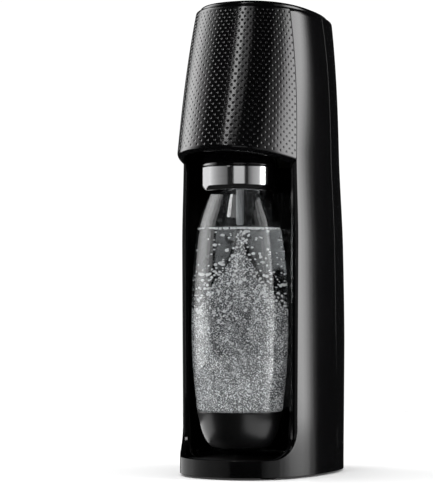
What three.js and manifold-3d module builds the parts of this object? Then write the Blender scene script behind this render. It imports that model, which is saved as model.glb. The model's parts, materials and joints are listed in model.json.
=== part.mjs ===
// A slim manual soda carbonator: a glossy tower that holds a gas cylinder behind, and a bottle in
// an open bay in front, under a dimpled head. Pressing the lid works a lever that opens the
// cylinder's valve. The bottle hangs in a holder that tilts forward.
// Millimetres, +Z up, the front faces -Y, the origin is at the bottom centre of the bounding box.
import * as THREE from "three";
import { mergeVertices } from "three/addons/utils/BufferGeometryUtils.js";
import Module from "manifold-3d";

const wasm = await Module();
wasm.setup();

// ---------------------------------------------------------------- driving dimensions
const HEIGHT = 425; // to the crown of the lid
const HALF_WIDTH = 64.6; // at the base
const BASE_REACH = 89; // from the section centre to the front of the base
const HEAD_REACH = 99.2; // from the section centre to the front of the head's lower edge
const REAR_REACH = 91.2; // from the section centre to the rear, at its fullest
const CENTRE_Y = 4; // the section centre, so that the bounding box is centred on the origin
const SQUARENESS = 2.4; // the superellipse exponent of every body section
const WALL = 2.6;
const GAP = 0.3; // between pieces that touch
const SHELL_BOTTOM = 2;
const RIM_Z = 420.5; // the top edge of the shells at its front, round the lid
const RIM_FRONT_Y = -62.7;
const TOP_SLOPE = 0.055; // the fall of the rim and the lid towards the rear
const BAY_RIM_Z = 17; // the top of the base in front of the bottle
const BAY_FILLET = 26; // the side wall's sweep into the base
const SEAM_Y = -40.4; // the front edge of the side walls, and the head's rear seam
const SEAM_TOP_Y = -34; // where that seam meets the top
const SEAM_BEND_Z = 281;
const REAR_COVER_FOOT = { y: 30, z: 22 };
const REAR_COVER_TOP = { y: 14, z: 430 };
const HEAD_EDGE = { z: 280, slope: 0.16 }; // the head's lower edge at the seam, and its rise forward
const CAVITY_BACK_Y = 12.5;
const CAVITY_HALF_WIDTH = 53;
const CAVITY_FLOOR_Z = 15;
const BAY_TOP_Z = 279;
const LINER_WALL = 2.2;

const BOTTLE = { y: -39, bottom: 26, mouth: 291, wall: 1.5, cupTop: 58.6 };
const HOLDER = { bottom: 256, top: 304, radius: 34.1, pivotY: -24, pivotZ: 300 };
const TRIM_HALF_ANGLE = 1.33; // of the chrome band, either side of the front
const GAS = { y: 49, bottom: 16, radius: 30, wall: 3.5 };
const LID_PIVOT = { y: 55, z: 406 };
const LEVER = { pivotY: 63, pivotZ: 403, bottom: 400, top: 403, pressY: -20, front: -25 };
const SHELF_Z = 346;

const ROUND = 24; // facets round a turned piece
const SMALL_ROUND = 12;
const SECTION_FACETS = 48;

// ---------------------------------------------------------------- solids and booleans
function solidOf(geometry) {
  const bare = new THREE.BufferGeometry();
  bare.setAttribute("position", geometry.getAttribute("position"));
  bare.setIndex(geometry.index);
  const merged = mergeVertices(bare, 1e-3);
  const corners = Array.from(merged.index.array);
  const triVerts = [];
  for (let i = 0; i < corners.length; i += 3) {
    const [a, b, c] = corners.slice(i, i + 3);
    if (a !== b && b !== c && c !== a) triVerts.push(a, b, c);
  }
  return new wasm.Manifold(
    new wasm.Mesh({
      numProp: 3,
      vertProperties: merged.getAttribute("position").array,
      triVerts: new Uint32Array(triVerts),
    }),
  );
}

function geometryOf(solid) {
  const mesh = solid.getMesh();
  const geometry = new THREE.BufferGeometry();
  geometry.setAttribute("position", new THREE.BufferAttribute(mesh.vertProperties, 3));
  geometry.setIndex(new THREE.BufferAttribute(mesh.triVerts, 1));
  geometry.computeVertexNormals();
  return geometry;
}

const join = (...solids) => solids.reduce((sum, next) => sum.add(next));
const cut = (solid, ...tools) => tools.reduce((left, tool) => left.subtract(tool), solid);
const common = (...solids) => solids.reduce((left, next) => left.intersect(next));

function block(x0, x1, y0, y1, z0, z1) {
  const box = new THREE.BoxGeometry(x1 - x0, y1 - y0, z1 - z0);
  return solidOf(box.translate((x0 + x1) / 2, (y0 + y1) / 2, (z0 + z1) / 2));
}

// A cylinder along "x", "y" or "z", from one end to the other, centred on the other two coordinates.
function rod(axis, from, to, radius, u, v, facets = SMALL_ROUND) {
  const rodGeometry = new THREE.CylinderGeometry(radius, radius, to - from, facets);
  const middle = (from + to) / 2;
  if (axis === "x") rodGeometry.rotateZ(-Math.PI / 2).translate(middle, u, v);
  if (axis === "y") rodGeometry.translate(u, middle, v);
  if (axis === "z") rodGeometry.rotateX(Math.PI / 2).translate(u, v, middle);
  return solidOf(rodGeometry);
}

// A solid of revolution about the vertical through (x, y). The outline runs up the outside from the
// axis and back down to it, or round a closed ring anticlockwise.
function turned(outline, x, y, facets = ROUND) {
  const points = outline.map(([radius, z]) => new THREE.Vector2(radius, z));
  const lathe = new THREE.LatheGeometry(points, facets);
  return solidOf(lathe.rotateX(Math.PI / 2).translate(x, y, 0));
}

function ring(inner, outer, z0, z1, x, y, facets = ROUND) {
  return turned([[inner, z0], [outer, z0], [outer, z1], [inner, z1], [inner, z0]], x, y, facets);
}

// A side profile in (y, z) drawn by a function, and carried across the object from x0 to x1.
function sideProfile(draw, x0 = -100, x1 = 100) {
  const shape = new THREE.Shape();
  draw(shape);
  const extrusion = new THREE.ExtrudeGeometry(shape, {
    depth: x1 - x0,
    bevelEnabled: false,
    curveSegments: 8,
  });
  const toSide = new THREE.Matrix4().makeBasis(
    new THREE.Vector3(0, 1, 0),
    new THREE.Vector3(0, 0, 1),
    new THREE.Vector3(1, 0, 0),
  );
  return solidOf(extrusion.applyMatrix4(toSide).translate(x0, 0, 0));
}

// A plan in (x, y) carried up from z0 to z1.
function plan(shape, z0, z1, curveSegments = 8) {
  const extrusion = new THREE.ExtrudeGeometry(shape, {
    depth: z1 - z0,
    bevelEnabled: false,
    curveSegments,
  });
  return solidOf(extrusion.translate(0, 0, z0));
}

// ---------------------------------------------------------------- the body's sections
const clamp01 = (t) => Math.min(1, Math.max(0, t));
const ease = (t) => t * t * (3 - 2 * t);
const halfWidth = (z) =>
  HALF_WIDTH - 2.2 * ease(clamp01((z - 205) / 90)) - 8 * clamp01((z - 290) / 130) ** 2.5;
const rearReach = (z) => REAR_REACH - 3 * clamp01(1 - z / 120) - 17.2 * ease(clamp01((z - 110) / 285));
function frontReach(z) {
  const headStart = 290;
  if (z > headStart) return HEAD_REACH - 0.25 * (z - headStart);
  return BASE_REACH + (HEAD_REACH - BASE_REACH) * clamp01((z - 60) / (headStart - 60));
}

// The point of the body's outline at height z, in the direction of a unit vector, drawn in by inset.
function sectionPoint(unitX, unitY, z, inset) {
  const power = 2 / SQUARENESS;
  const reach = unitY < 0 ? frontReach(z) : rearReach(z);
  return [
    (halfWidth(z) - inset) * Math.sign(unitX) * Math.abs(unitX) ** power,
    CENTRE_Y + (reach - inset) * Math.sign(unitY) * Math.abs(unitY) ** power,
  ];
}

// A closed solid through the body's outline, row by row: each row is { z, inset, at }, where at is
// the height whose outline it takes, z itself unless stated. With a slope, every row falls to the rear.
function loft(rows, slope = 0) {
  const tube = new THREE.CylinderGeometry(1, 1, rows.length - 1, SECTION_FACETS, rows.length - 1);
  const position = tube.getAttribute("position");
  for (let i = 0; i < position.count; i += 1) {
    const row = rows[Math.round(position.getY(i) + (rows.length - 1) / 2)];
    const unitX = position.getX(i);
    const unitY = -position.getZ(i);
    const onAxis = Math.hypot(unitX, unitY) < 0.5;
    const [x, y] = onAxis ? [0, CENTRE_Y] : sectionPoint(unitX, unitY, row.at ?? row.z, row.inset);
    position.setXYZ(i, x, y, row.z - slope * (y - RIM_FRONT_Y));
  }
  return solidOf(tube);
}

const BODY_LEVELS = [60, 120, 205, 250, 290, 345, 385, 405];
function bodySolid(inset, z0, z1) {
  const levels = [z0, ...BODY_LEVELS.filter((z) => z > z0 + 4 && z < z1 - 4), z1];
  return loft(levels.map((z) => ({ z, inset })));
}

const bodyWall = (inset, wall, z0, z1) =>
  cut(bodySolid(inset, z0, z1), bodySolid(inset + wall, z0 - 3, z1 + 6));

// The walls up to the sloping rim.
function shellWall(z0) {
  const rimAt = (y) => RIM_Z - TOP_SLOPE * (y - RIM_FRONT_Y);
  const above = sideProfile((shape) => {
    shape.moveTo(-130, rimAt(-130));
    shape.lineTo(130, rimAt(130));
    shape.lineTo(130, 460);
    shape.lineTo(-130, 460);
  });
  return cut(bodyWall(0, WALL, z0, RIM_Z + 2), above);
}

// The x range between a and b on one side of the middle: side is -1 or 1.
const spanOf = (side, a, b) => [side * a, side * b].sort((low, high) => low - high);

// Everything in front of the side walls and above the base: the bay and the head.
function frontRegion(back = SEAM_Y, floor = BAY_RIM_Z) {
  return sideProfile((shape) => {
    shape.moveTo(-130, floor);
    shape.lineTo(back - BAY_FILLET, floor);
    shape.absarc(back - BAY_FILLET, floor + BAY_FILLET, BAY_FILLET, -Math.PI / 2, 0, false);
    shape.lineTo(back, SEAM_BEND_Z);
    shape.lineTo(back + SEAM_TOP_Y - SEAM_Y, RIM_Z + 2);
    shape.lineTo(-130, RIM_Z + 2);
  });
}

// Everything behind the rear seam, above the base, drawn back by a clearance.
function rearRegion(clearance) {
  return sideProfile((shape) => {
    shape.moveTo(REAR_COVER_FOOT.y + clearance, REAR_COVER_FOOT.z + clearance);
    shape.lineTo(130, REAR_COVER_FOOT.z + clearance);
    shape.lineTo(130, REAR_COVER_TOP.z);
    shape.lineTo(REAR_COVER_TOP.y + clearance, REAR_COVER_TOP.z);
  });
}

// Everything in front of the seam and above the head's sloping lower edge.
function headRegion() {
  const back = SEAM_Y - 0.6;
  const edgeAt = (y) => HEAD_EDGE.z + HEAD_EDGE.slope * (SEAM_Y - y);
  return sideProfile((shape) => {
    shape.moveTo(back, edgeAt(back));
    shape.lineTo(back + SEAM_TOP_Y - SEAM_Y, RIM_Z + 2);
    shape.lineTo(-130, RIM_Z + 2);
    shape.lineTo(-130, edgeAt(-130));
  });
}

// ---------------------------------------------------------------- housing
function bodyShell() {
  return cut(shellWall(SHELL_BOTTOM), frontRegion(), rearRegion(0));
}

// The head's shell, with a lip turned in along its lower edge and two tabs screwed under the deck.
function headShell() {
  const wall = common(shellWall(270), headRegion());
  const lip = common(bodyWall(0.5, 7, 270, 310), cut(headRegion(), headRegion().translate([0, 0, 2.6])));
  const tabs = [-1, 1].map((side) => {
    const tab = block(...spanOf(side, 28, 50), -52, -42.5, 392.4, 395.7);
    return common(tab, bodySolid(WALL - 1, 385, 402));
  });
  return cut(join(wall, lip, ...tabs), ...HEAD_SCREWS.map(([x, y]) => rod("z", 390, 400, 1.9, x, y)));
}

function cavityPlan(halfX, backY, corner) {
  const shape = new THREE.Shape();
  shape.moveTo(-halfX, -130);
  shape.lineTo(halfX, -130);
  shape.lineTo(halfX, backY - corner);
  shape.absarc(halfX - corner, backY - corner, corner, 0, Math.PI / 2, false);
  shape.lineTo(corner - halfX, backY);
  shape.absarc(corner - halfX, backY - corner, corner, Math.PI / 2, Math.PI, false);
  return shape;
}

// The bay's lining: side walls, rounded corners, back wall with a flat panel, and the sunken floor.
function bayLiner() {
  const floorBottom = CAVITY_FLOOR_Z - LINER_WALL;
  const outerInset = WALL + GAP;
  const outer = (z0, z1) =>
    common(
      bodySolid(outerInset, z0, z1),
      plan(cavityPlan(CAVITY_HALF_WIDTH + LINER_WALL, CAVITY_BACK_Y + LINER_WALL, 26.2), z0, z1),
    );
  const cavity = common(
    bodySolid(outerInset + LINER_WALL, CAVITY_FLOOR_Z, BAY_TOP_Z + 5),
    plan(cavityPlan(CAVITY_HALF_WIDTH, CAVITY_BACK_Y, 24), CAVITY_FLOOR_Z, BAY_TOP_Z + 5),
  );
  const walls = cut(outer(floorBottom, BAY_TOP_Z), cavity, frontRegion(SEAM_Y, BAY_RIM_Z));
  const flanges = [-1, 1].map((side) => {
    const flange = block(...spanOf(side, CAVITY_HALF_WIDTH, 66), SEAM_Y, SEAM_Y + LINER_WALL, 50, BAY_TOP_Z);
    return common(flange, bodySolid(outerInset, 40, BAY_TOP_Z + 5));
  });
  const panel = block(-16, 16, CAVITY_BACK_Y - 1.2, CAVITY_BACK_Y + 0.4, 34, 257);
  return join(walls, panel, ...flanges);
}

const FOOT_PLACES = [[-36, -52], [36, -52], [-36, 62], [36, 62]];
const SCREW_PLACES = [[-38, 20], [38, 20], [-24, 80], [24, 80]];
const HEAD_SCREWS = [[-32, -47], [32, -47]];

function basePlate() {
  const plate = bodySolid(WALL + GAP, SHELL_BOTTOM + 0.2, 4.6);
  const footHoles = FOOT_PLACES.map(([x, y]) => rod("z", 0, 8, 3.8, x, y));
  const screwHoles = SCREW_PLACES.map(([x, y]) => rod("z", 0, 8, 1.9, x, y));
  return cut(plate, ...footHoles, ...screwHoles);
}

const foot = (x, y) =>
  turned([[0, 0], [7.4, 0], [8, 0.6], [8, 1.9], [3.5, 1.9], [3.5, 4.7], [0, 4.7]], x, y, 16);

const baseScrew = (x, y) =>
  turned([[0, 0.9], [3.2, 0.9], [3.2, 1.9], [1.6, 1.9], [1.6, 8.6], [0, 8.6]], x, y, 12);

// The inner frame: a spine between the bay and the cylinder, a foot, a shelf under the valve block,
// ears for the holder's, the lid's and the lever's pivots, and two seats for the lid's springs.
function chassis() {
  const spine = block(-46, 46, 15.5, 18, 5, 397);
  const footPlate = common(block(-46, 46, 15.5, 84, 5, 8), bodySolid(WALL + 1, 4, 9));
  const shelf = common(block(-30, 30, 15.5, 72, SHELF_Z, SHELF_Z + 3), bodySolid(WALL + 1, 340, 352));
  const crossWall = block(-25, 25, 63, 65.5, 381, 396);
  const deck = join(block(-46, 46, -37, 18, 396, 399), block(-36, 36, -52, -36, 396, 399));
  const sides = [-1, 1].flatMap((side) => [
    block(...spanOf(side, 38, 41), -32, 16, 291, 309), // holder ear
    block(...spanOf(side, 22, 25), 49, 61, SHELF_Z, 410), // lid ear
    block(...spanOf(side, 22, 25), 17, 61, SHELF_Z, 362), // gusset under the lid ear
    block(...spanOf(side, 22, 25), 49, 65.5, 381, 396),
    block(...spanOf(side, 9.5, 12), 59.5, 66, 381, 406), // lever ear
    block(...spanOf(side, 12, 30), -9, 17, 393, 395.5), // spring seat
  ]);
  return cut(
    join(spine, footPlate, shelf, crossWall, deck, ...sides),
    rod("x", -50, 50, 2.7, HOLDER.pivotY, HOLDER.pivotZ),
    rod("x", -30, 30, 1.8, LID_PIVOT.y, LID_PIVOT.z),
    rod("x", -15, 15, 1.8, LEVER.pivotY, LEVER.pivotZ),
    rod("z", SHELF_Z - 4, SHELF_Z + 10, 17.5, 0, GAS.y, 24),
    rod("y", 10, 20, 5, 0, 384),
    block(-9, 9, -34, 20, 395, 401), // the lever's slot
    block(11, 31, -10, 11, 395.5, 400), // openings over the spring seats
    block(-31, -11, -10, 11, 395.5, 400),
    ...SCREW_PLACES.map(([x, y]) => rod("z", 4, 9, 1.9, x, y)),
    ...HEAD_SCREWS.map(([x, y]) => rod("z", 390, 402, 1.9, x, y)),
  );
}

// ---------------------------------------------------------------- rear cover
const RELEASE = { halfX: 11, z0: 326, z1: 338, flangeY: 74.1 };

// The cover behind the cylinder: two hooks below, and a framed window for the release button.
function rearCover() {
  const { halfX, z0, z1, flangeY } = RELEASE;
  const wall = common(shellWall(SHELL_BOTTOM), rearRegion(0.4));
  const hooks = [-1, 1].map((side) => {
    const tongue = block(...spanOf(side, 6, 13), 84.4, 86.8, 14, 27);
    const bridge = common(block(...spanOf(side, 6, 13), 84.4, 97, 23.4, 27), bodySolid(1, 20, 32));
    return join(tongue, bridge);
  });
  const guides = [-1, 1].map((side) => {
    const rail = block(...spanOf(side, halfX + 2.6, halfX + 4.6), flangeY - 4.4, 84, z0 - 2, z1 + 2);
    const stop = block(...spanOf(side, halfX + 0.8, halfX + 3), flangeY - 4.4, flangeY - 2.9, z0 - 2, z1 + 2);
    return join(common(rail, bodySolid(1, z0 - 20, z1 + 20)), stop);
  });
  const window = block(-halfX - 0.5, halfX + 0.5, 60, 90, z0 - 0.5, z1 + 0.5);
  return join(cut(join(wall, ...hooks), window), ...guides);
}

function releaseButton() {
  const { halfX, z0, z1, flangeY } = RELEASE;
  const pad = common(block(-halfX, halfX, flangeY, 90, z0, z1), bodySolid(-0.8, z0 - 20, z1 + 20));
  return join(pad, block(-halfX - 2, halfX + 2, flangeY, flangeY + 1.8, z0 - 1.8, z1 + 1.8));
}

// ---------------------------------------------------------------- lid and valve works
const LID_INSET = 3.2;
const LID_SKIRT_Z = 413;
const LID_ROUNDING = 7;

function lidButton() {
  const lidRow = (z, inset) => ({ z, inset: LID_INSET + inset, at: RIM_Z });
  const crown = HEIGHT + TOP_SLOPE * (LID_INSET + LID_ROUNDING);
  const outside = loft(
    [
      lidRow(LID_SKIRT_Z, 0),
      lidRow(crown - 3.4, 0),
      lidRow(crown - 1.6, 0.9),
      lidRow(crown - 0.5, 3.2),
      lidRow(crown, LID_ROUNDING),
    ],
    TOP_SLOPE,
  );
  const inside = loft(
    [lidRow(LID_SKIRT_Z - 2, 2.2), lidRow(crown - 4.4, 2.2), lidRow(crown - 2.6, 5)],
    TOP_SLOPE,
  );
  const ears = [-1, 1].map((side) => block(...spanOf(side, 27, 30), 50, 60, LID_PIVOT.z - 4, 417));
  const pusher = block(-5, 5, LEVER.pressY - 4, LEVER.pressY + 4, LEVER.top + 0.4, 421.2);
  const solid = join(cut(outside, inside), pusher, ...ears);
  return cut(solid, rod("x", -32, 32, 1.8, LID_PIVOT.y, LID_PIVOT.z));
}

const lidPivotPin = () => rod("x", -31, 31, 1.5, LID_PIVOT.y, LID_PIVOT.z, 12);
const leverPivotPin = () => rod("x", -13, 13, 1.5, LEVER.pivotY, LEVER.pivotZ, 12);

function valveLever() {
  const bar = block(-6, 6, LEVER.front, LEVER.pivotY, LEVER.bottom, LEVER.top);
  const rib = block(-1.5, 1.5, -12, 50, LEVER.top - 0.5, LEVER.top + 3);
  const hub = rod("x", -8.5, 8.5, 3.6, LEVER.pivotY, LEVER.pivotZ);
  return cut(join(bar, rib, hub), rod("x", -12, 12, 1.8, LEVER.pivotY, LEVER.pivotZ, 12));
}

class Helix extends THREE.Curve {
  constructor(x, y, z0, z1, radius, turns) {
    super();
    Object.assign(this, { x, y, z0, z1, radius, turns });
  }

  getPoint(t, target = new THREE.Vector3()) {
    const angle = 2 * Math.PI * this.turns * t;
    return target.set(
      this.x + this.radius * Math.cos(angle),
      this.y + this.radius * Math.sin(angle),
      this.z0 + (this.z1 - this.z0) * t,
    );
  }
}

function swept(path, radius, sides, steps) {
  const section = new THREE.Shape();
  for (let i = 0; i < sides; i += 1) {
    const angle = (2 * Math.PI * i) / sides;
    const corner = [radius * Math.cos(angle), radius * Math.sin(angle)];
    if (i === 0) section.moveTo(...corner);
    else section.lineTo(...corner);
  }
  return solidOf(new THREE.ExtrudeGeometry(section, { steps, extrudePath: path, bevelEnabled: false }));
}

const lidSpring = (x) => swept(new Helix(x, 0, 396.5, 417.4, 5, 4.5), 0.7, 4, 36);

const BLOCK = { radius: 20, bottom: SHELF_Z + 3 + GAP, top: 392, portZ: 384 };

function valveBlock() {
  const { radius, bottom, top } = BLOCK;
  const outline = [[0, bottom], [radius, bottom], [radius, 376], [14, 380], [14, top], [0, top]];
  const body = turned(outline, 0, GAS.y);
  const port = rod("y", 30, 40, 5, 0, BLOCK.portZ);
  return cut(
    join(body, port),
    rod("z", bottom - 1, 375, 11, 0, GAS.y, 20),
    rod("z", bottom - 1, 353, 15.5, 0, GAS.y, 20),
    rod("z", 370, top + 1, 2.3, 0, GAS.y, 12),
    rod("y", 29, 46.5, 2.6, 0, BLOCK.portZ),
  );
}

const blockSeal = () => ring(3, 10.4, 372.4, 374.7, 0, GAS.y, 20);
const actuatorPin = () => rod("z", 373.2, LEVER.bottom - 0.4, 1.9, 0, GAS.y, 12);

// ---------------------------------------------------------------- gas cylinder
function gasCylinder() {
  const { bottom, radius, wall } = GAS;
  const shoulder = [[radius, 0], [29, 12], [26.2, 21], [20.5, 31], [15.6, 36.5], [14, 40], [14, 46]];
  const shoulderZ = bottom + 280;
  const outside = [
    [22, bottom],
    [28, bottom + 1.2],
    [radius, bottom + 6],
    ...shoulder.map(([r, rise]) => [r, shoulderZ + rise]),
  ];
  const inside = [
    [8.2, shoulderZ + 46],
    [8.2, shoulderZ + 36],
    [16, shoulderZ + 30],
    [22.7, shoulderZ + 19],
    [radius - wall, shoulderZ],
    [radius - wall, bottom + 12],
    [18, bottom + 7],
    [0, bottom + 7],
  ];
  return turned([[0, bottom + 3], [16, bottom + 3], ...outside, ...inside], 0, GAS.y);
}

function cylinderValve() {
  const neck = GAS.bottom + 326;
  const outline = [
    [0, neck - 14],
    [7.9, neck - 14],
    [7.9, neck + GAP],
    [13.5, neck + GAP],
    [13.5, neck + 7],
    [10.5, neck + 8.5],
    [10.5, neck + 29],
    [9.5, neck + 30],
    [0, neck + 30],
  ];
  return cut(turned(outline, 0, GAS.y, 20), rod("z", neck + 22, neck + 31, 1.9, 0, GAS.y, 12));
}

const valvePin = () => rod("z", GAS.bottom + 348.6, GAS.bottom + 356.9, 1.5, 0, GAS.y, 12);
const cylinderSeat = () =>
  turned([[0, 8.3], [30, 8.3], [30, 14.5], [28.5, 15.7], [20, 15.7], [17, 13.5], [0, 13.5]], 0, GAS.y);

// ---------------------------------------------------------------- bottle holder
// A ring about the bottle's axis, kept over part of a turn that is centred on a direction.
function ringSector(outline, middle, halfAngle) {
  const reach = 60;
  const sector = new THREE.Shape();
  sector.moveTo(0, 0);
  sector.absarc(0, 0, reach, middle - halfAngle, middle + halfAngle, false);
  const wedge = plan(sector, 200, 320, 6).translate([0, BOTTLE.y, 0]);
  return common(turned(outline, 0, BOTTLE.y, 36), wedge);
}

// The band's outline, grown by a clearance: upright, with its lower edge drawn in.
function trimOutline(clearance) {
  const { bottom, radius } = HOLDER;
  const outer = radius + 0.1 + 4 * clearance;
  const inner = radius - 1.2 - clearance;
  return [
    [inner - 1.6, bottom + 0.2 - clearance * 5],
    [outer - 2, bottom + 0.2 - clearance * 5],
    [outer, bottom + 4.4],
    [outer, bottom + 21.2 + clearance],
    [inner, bottom + 21.2 + clearance],
    [inner, bottom + 4.9],
    [inner - 1.6, bottom + 1.6 + clearance],
    [inner - 1.6, bottom + 0.2 - clearance * 5],
  ];
}

function bottleHolder() {
  const { bottom, top, radius } = HOLDER;
  const collar = turned(
    [
      [29.5, bottom],
      [radius - 2, bottom],
      [radius, bottom + 4.4],
      [radius, bottom + 21.5],
      [radius + 0.6, bottom + 22],
      [radius + 0.6, bottom + 24.5],
      [31.5, bottom + 35],
      [31.5, top],
      [12, top],
      [12, top - 3],
      [27, top - 5],
      [27, bottom + 7],
      [29.5, bottom],
    ],
    0,
    BOTTLE.y,
    36,
  );
  const seat = ringSector(trimOutline(GAP), -Math.PI / 2, TRIM_HALF_ANGLE + 0.01);
  const arms = [-1, 1].map((side) => block(...spanOf(side, 29, 37.4), -32, -18.5, 294, 306));
  return cut(
    join(cut(collar, seat), ...arms),
    rod("z", bottom + 12, top - 5, 27, 0, BOTTLE.y, ROUND),
    rod("x", -50, -31.8, 2.7, HOLDER.pivotY, HOLDER.pivotZ),
    rod("x", 31.8, 50, 2.7, HOLDER.pivotY, HOLDER.pivotZ),
  );
}

const holderPin = (side) => rod("x", ...spanOf(side, 32.5, 43), 2.4, HOLDER.pivotY, HOLDER.pivotZ);

// A band over part of a turn, centred on a direction, between two radii and two heights.
function arcBand(inner, outer, z0, z1, middle, halfAngle) {
  const shape = new THREE.Shape();
  shape.absarc(0, 0, outer, middle - halfAngle, middle + halfAngle, false);
  shape.absarc(0, 0, inner, middle + halfAngle, middle - halfAngle, true);
  return plan(shape, z0, z1, 5).translate([0, BOTTLE.y, 0]);
}

const chromeTrim = () => ringSector(trimOutline(0), -Math.PI / 2, TRIM_HALF_ANGLE);
const holderClaw = (side) => arcBand(22.2, 26.7, 266.5, 269.7, side > 0 ? 0 : Math.PI, 0.42);

const NOZZLE = { bottom: 294.6, flangeTop: 299.4, top: 318 };

function nozzleBody() {
  const body = turned(
    [
      [0, NOZZLE.bottom],
      [20, NOZZLE.bottom],
      [20, NOZZLE.flangeTop - GAP],
      [11.5, NOZZLE.flangeTop],
      [11.5, 312],
      [7, 316],
      [7, NOZZLE.top],
      [0, NOZZLE.top],
    ],
    0,
    BOTTLE.y,
    24,
  );
  return cut(
    body,
    rod("z", NOZZLE.bottom - 1, 306, 3.8, 0, BOTTLE.y, 14),
    rod("z", 305, NOZZLE.top + 1, 1.6, 0, BOTTLE.y, 10),
    rod("x", 7, 13, 3.2, BOTTLE.y, 309, 12),
  );
}

const carbonatingTube = () =>
  turned([[1.6, 225.4], [2.8, 225.4], [3.4, 227], [3.4, 305.6], [1.6, 305.6], [1.6, 225.4]], 0, BOTTLE.y, 12);
const bottleSeal = () => ring(4.2, 18, BOTTLE.mouth + GAP, NOZZLE.bottom - GAP, 0, BOTTLE.y, 24);
const reliefValve = () =>
  join(rod("x", 7.5, 12, 2.9, BOTTLE.y, 309, 12), rod("x", 11.9, 22, 4.6, BOTTLE.y, 309, 12));

const nozzleFitting = () =>
  cut(
    turned([[0, 318.3], [5.5, 318.3], [5.5, 322], [2.2, 323], [2.2, 331], [0, 331]], 0, BOTTLE.y, 14),
    rod("z", 317, 332, 1, 0, BOTTLE.y, 8),
  );

function valveFitting() {
  const nut = rod("y", 26, 29.7, 5.5, 0, BLOCK.portZ);
  const barb = rod("y", 18, 26.1, 2.2, 0, BLOCK.portZ, 12);
  const thread = rod("y", 29.6, 36, 2.3, 0, BLOCK.portZ, 12);
  return cut(join(nut, barb, thread), rod("y", 17, 37, 1, 0, BLOCK.portZ, 8));
}

// The gas hose runs from the valve block, through the spine, down to the nozzle.
function gasHose() {
  const path = new THREE.CatmullRomCurve3([
    new THREE.Vector3(0, 17.7, BLOCK.portZ),
    new THREE.Vector3(0, 6, BLOCK.portZ),
    new THREE.Vector3(0, -12, 381),
    new THREE.Vector3(0, -30, 368),
    new THREE.Vector3(0, -39, 348),
    new THREE.Vector3(0, BOTTLE.y, 331.3),
  ]);
  return swept(path, 2.9, 8, 16);
}

// ---------------------------------------------------------------- bottle
const BOTTLE_OUTSIDE = [
  [38.6, 59.2],
  [42.4, 99],
  [43.5, 135],
  [42.4, 177],
  [38.4, 221],
  [32, 244],
  [25.8, 258.5],
  [20.9, 268],
];

function bottleCurve(inset) {
  const line = new THREE.CatmullRomCurve3(
    BOTTLE_OUTSIDE.map(([radius, z]) => new THREE.Vector3(radius - inset, z, 0)),
  );
  return line.getPoints(10).map((point) => [point.x, point.y]);
}

// The clear bottle: a round bottom inside the cup, the body, the neck and its flange.
function bottleBody() {
  const { wall, mouth } = BOTTLE;
  const neck = [[20, 272], [20, 274.8], [23, 275], [23, 278], [18.6, 278.4], [18.6, mouth]];
  const outside = [[0, 31], [18, 31.5], [29, 37.5], [34.4, 46], [36.6, 58.9], ...bottleCurve(0), ...neck];
  const inside = [
    [16.6, mouth],
    [16.6, 279],
    [18.2, 274],
    [18.6, 270],
    ...bottleCurve(wall).reverse(),
    [35, 58],
    [32.6, 47],
    [27.6, 39.4],
    [17.5, 33.6],
    [0, 33],
  ];
  return turned([...outside, ...inside], 0, BOTTLE.y);
}

function bottleCup() {
  const { bottom, cupTop } = BOTTLE;
  const outside = [
    [0, bottom + 2],
    [19, bottom + 2],
    [22, bottom],
    [25, bottom],
    [29.2, 30.4],
    [33.2, 38],
    [36.1, 47.5],
    [38.4, cupTop],
  ];
  const inside = [[37.2, cupTop], [34.9, 46], [29.4, 36.9], [18.2, 30.6], [0, 30.2]];
  return turned([...outside, ...inside], 0, BOTTLE.y);
}

// ---------------------------------------------------------------- head screws
const headScrew = (x, y) =>
  turned([[0, 393], [1.6, 393], [1.6, 399.3], [3.2, 399.3], [3.2, 401], [0, 401]], x, y, 12);

// ---------------------------------------------------------------- materials and assembly
const finish = (color, roughness, metalness = 0, extra = {}) =>
  new THREE.MeshStandardMaterial({ color, roughness, metalness, ...extra });

const GLOSS_BLACK = finish(0x0b0b0c, 0.12);
const DIMPLED_BLACK = finish(0x101012, 0.3);
const MATTE_BLACK = finish(0x18181a, 0.6);
const CHROME = finish(0xdadada, 0.08, 1);
const STEEL = finish(0xb4b4b8, 0.3, 1);
const BRASS = finish(0xc8a15a, 0.3, 1);
const ALLOY = finish(0x2f8fcb, 0.35, 0.4);
const RUBBER = finish(0x141414, 0.9);
const CLEAR = finish(0xeef2f4, 0.05, 0, { transparent: true, opacity: 0.3 });
const TUBE_GREY = finish(0xb8babc, 0.35);

const carbonator = new THREE.Group();

function add(name, solid, material) {
  const mesh = new THREE.Mesh(geometryOf(solid), material);
  mesh.name = name;
  carbonator.add(mesh);
}

add("body_shell", bodyShell(), GLOSS_BLACK);
add("bay_liner", bayLiner(), GLOSS_BLACK);
add("base_plate", basePlate(), MATTE_BLACK);
add("chassis", chassis(), MATTE_BLACK);
add("head_shell", headShell(), DIMPLED_BLACK);
add("rear_cover", rearCover(), GLOSS_BLACK);
add("rear_release_button", releaseButton(), MATTE_BLACK);

add("lid_button", lidButton(), GLOSS_BLACK);
add("lid_pivot_pin", lidPivotPin(), STEEL);
add("lid_spring_left", lidSpring(-21), STEEL);
add("lid_spring_right", lidSpring(21), STEEL);
add("valve_lever", valveLever(), STEEL);
add("lever_pivot_pin", leverPivotPin(), STEEL);
add("valve_block", valveBlock(), BRASS);
add("block_seal", blockSeal(), RUBBER);
add("actuator_pin", actuatorPin(), STEEL);

add("gas_cylinder", gasCylinder(), ALLOY);
add("cylinder_valve", cylinderValve(), BRASS);
add("valve_pin", valvePin(), STEEL);
add("cylinder_seat", cylinderSeat(), RUBBER);

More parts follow.
